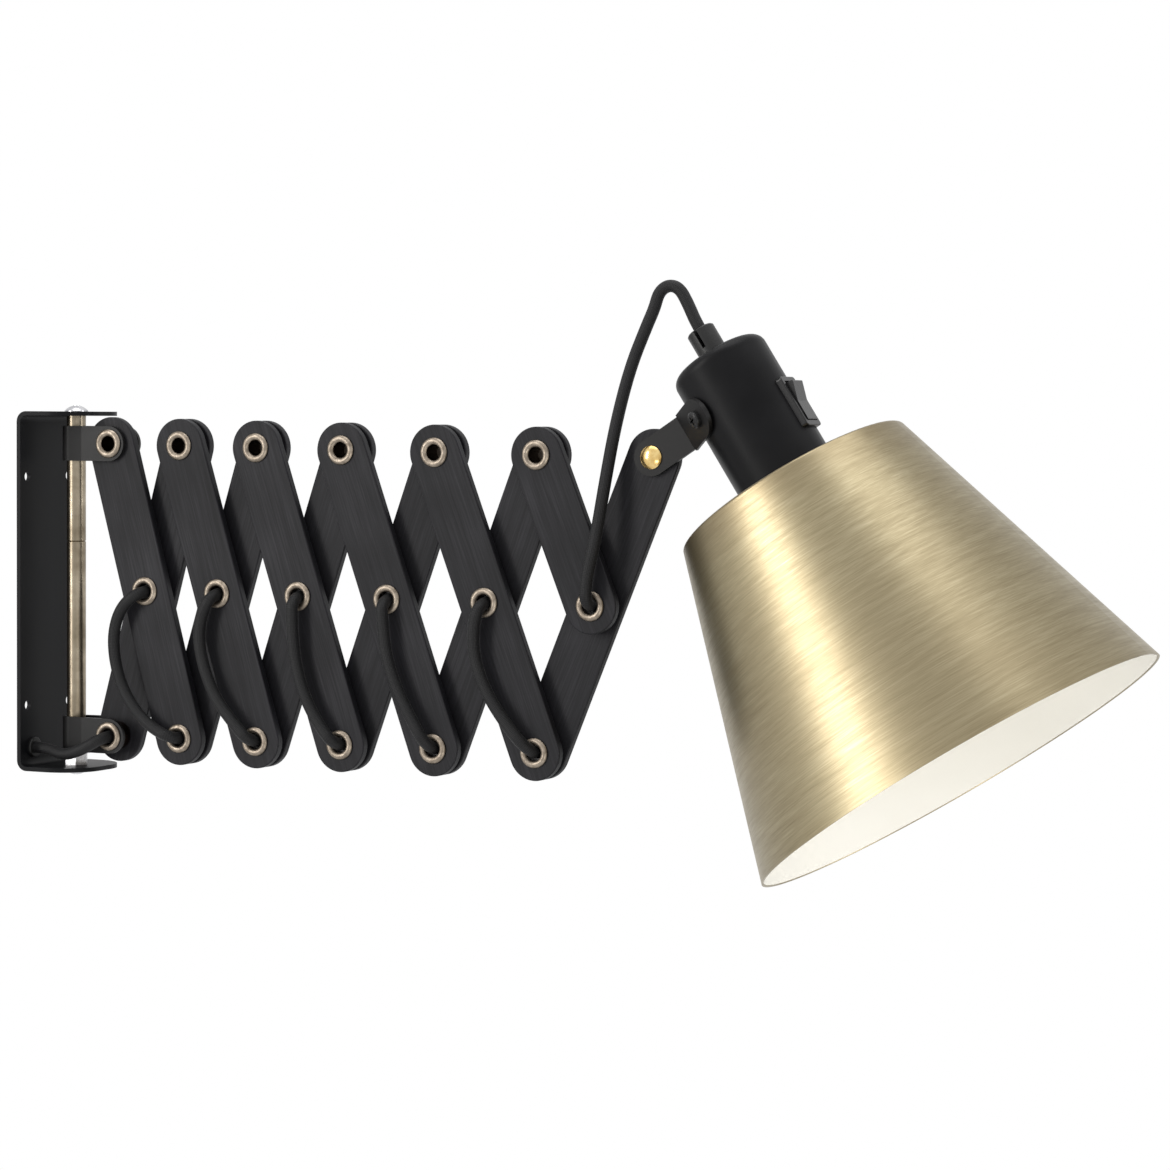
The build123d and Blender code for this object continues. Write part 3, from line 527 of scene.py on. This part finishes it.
AZIMUTH, ELEVATION, ROLL = math.radians(25.80), math.radians(2.82), math.radians(0.39)
CAMERA_PLACE = (0.9530, -1.3801, 0.0854)
FOCAL_PIXELS, PICTURE_PIXELS, SENSOR = 3482.8, 1170, 36.0
forward = Vector((
    -math.sin(AZIMUTH) * math.cos(ELEVATION), math.cos(AZIMUTH) * math.cos(ELEVATION), -math.sin(ELEVATION)
))
right_way = Vector((math.cos(AZIMUTH), math.sin(AZIMUTH), 0))
up_way = right_way.cross(forward)
rolled_right = right_way * math.cos(ROLL) + up_way * math.sin(ROLL)
rolled_up = up_way * math.cos(ROLL) - right_way * math.sin(ROLL)
camera_data = bpy.data.cameras.new("camera")
camera_data.sensor_width = SENSOR
camera_data.sensor_fit = "HORIZONTAL"
camera_data.lens = FOCAL_PIXELS / PICTURE_PIXELS * SENSOR
camera_data.clip_end = 50
camera = bpy.data.objects.new("camera", camera_data)
turn = Matrix((rolled_right, rolled_up, -forward)).transposed()
camera.matrix_world = Matrix.Translation(CAMERA_PLACE) @ turn.to_4x4()
bpy.context.scene.collection.objects.link(camera)
bpy.context.scene.camera = camera

# ---------------------------------------------------------------- floor, light and background


def seen_directly(tree):
    """1 for rays from the camera and for those mirrored or let through by a surface."""
    path = tree.nodes.new("ShaderNodeLightPath")
    total = path.outputs["Is Camera Ray"]
    for ray in ("Is Glossy Ray", "Is Transmission Ray"):
        either = tree.nodes.new("ShaderNodeMath")
        either.operation = "MAXIMUM"
        tree.links.new(total, either.inputs[0])
        tree.links.new(path.outputs[ray], either.inputs[1])
        total = either.outputs[0]
    return total


floor_mesh = bpy.data.meshes.new("floor")
FLOOR_REACH, FLOOR_Z = 6.0, -0.62
corners = [(x * FLOOR_REACH, y * FLOOR_REACH, FLOOR_Z) for x, y in ((-1, -1), (1, -1), (1, 1), (-1, 1))]
floor_mesh.from_pydata(corners, [], [(0, 1, 2, 3)])
floor = bpy.data.objects.new("floor", floor_mesh)
bpy.context.scene.collection.objects.link(floor)
floor_look = bpy.data.materials.new("pale_floor")
floor_look.use_nodes = True
tree = floor_look.node_tree
glow = tree.nodes.new("ShaderNodeEmission")
glow.inputs["Color"].default_value = (1, 1, 1, 1)
matte = tree.nodes["Principled BSDF"]
matte.inputs["Base Color"].default_value = (0.72, 0.72, 0.72, 1)
matte.inputs["Roughness"].default_value = 0.9
blend = tree.nodes.new("ShaderNodeMixShader")
tree.links.new(seen_directly(tree), blend.inputs[0])
tree.links.new(matte.outputs[0], blend.inputs[1])
tree.links.new(glow.outputs[0], blend.inputs[2])
tree.links.new(blend.outputs[0], tree.nodes["Material Output"].inputs["Surface"])
floor_mesh.materials.append(floor_look)


def softbox(name, place, aim, width, height, power, colour=(1, 1, 1)):
    """Rectangular lamp at place, turned towards aim; power in watts."""
    data = bpy.data.lights.new(name, "AREA")
    data.shape = "RECTANGLE"
    data.size, data.size_y = width, height
    data.energy = power
    data.color = colour
    lamp = bpy.data.objects.new(name, data)
    way = (Vector(aim) - Vector(place)).normalized()
    lamp.matrix_world = Matrix.Translation(place) @ way.to_track_quat("-Z", "Y").to_matrix().to_4x4()
    bpy.context.scene.collection.objects.link(lamp)


softbox("key", (-0.95, -1.55, 0.55), (0.40, 0, 0), 0.50, 1.5, 22.0, (1.0, 0.98, 0.95))
softbox("below", (0.95, -0.75, -0.60), (0.46, 0, -0.05), 0.5, 0.5, 5.0, (1.0, 0.97, 0.90))
softbox("side", (2.0, 0.25, 0.45), (0.38, 0, 0), 0.7, 1.4, 12.0)
softbox("top", (0.3, -0.1, 1.7), (0.3, 0, 0), 1.6, 1.2, 16.0)

world = bpy.data.worlds.new("studio")
bpy.context.scene.world = world
world.use_nodes = True
tree = world.node_tree
tree.nodes.clear()
room = tree.nodes.new("ShaderNodeBackground")
room.inputs["Color"].default_value = (0.80, 0.80, 0.80, 1)
room.inputs["Strength"].default_value = 0.55
white = tree.nodes.new("ShaderNodeBackground")
white.inputs["Color"].default_value = (1, 1, 1, 1)
blend = tree.nodes.new("ShaderNodeMixShader")
out = tree.nodes.new("ShaderNodeOutputWorld")
tree.links.new(seen_directly(tree), blend.inputs[0])
tree.links.new(room.outputs[0], blend.inputs[1])
tree.links.new(white.outputs[0], blend.inputs[2])
tree.links.new(blend.outputs[0], out.inputs["Surface"])

bpy.context.scene.view_settings.view_transform = "Standard"
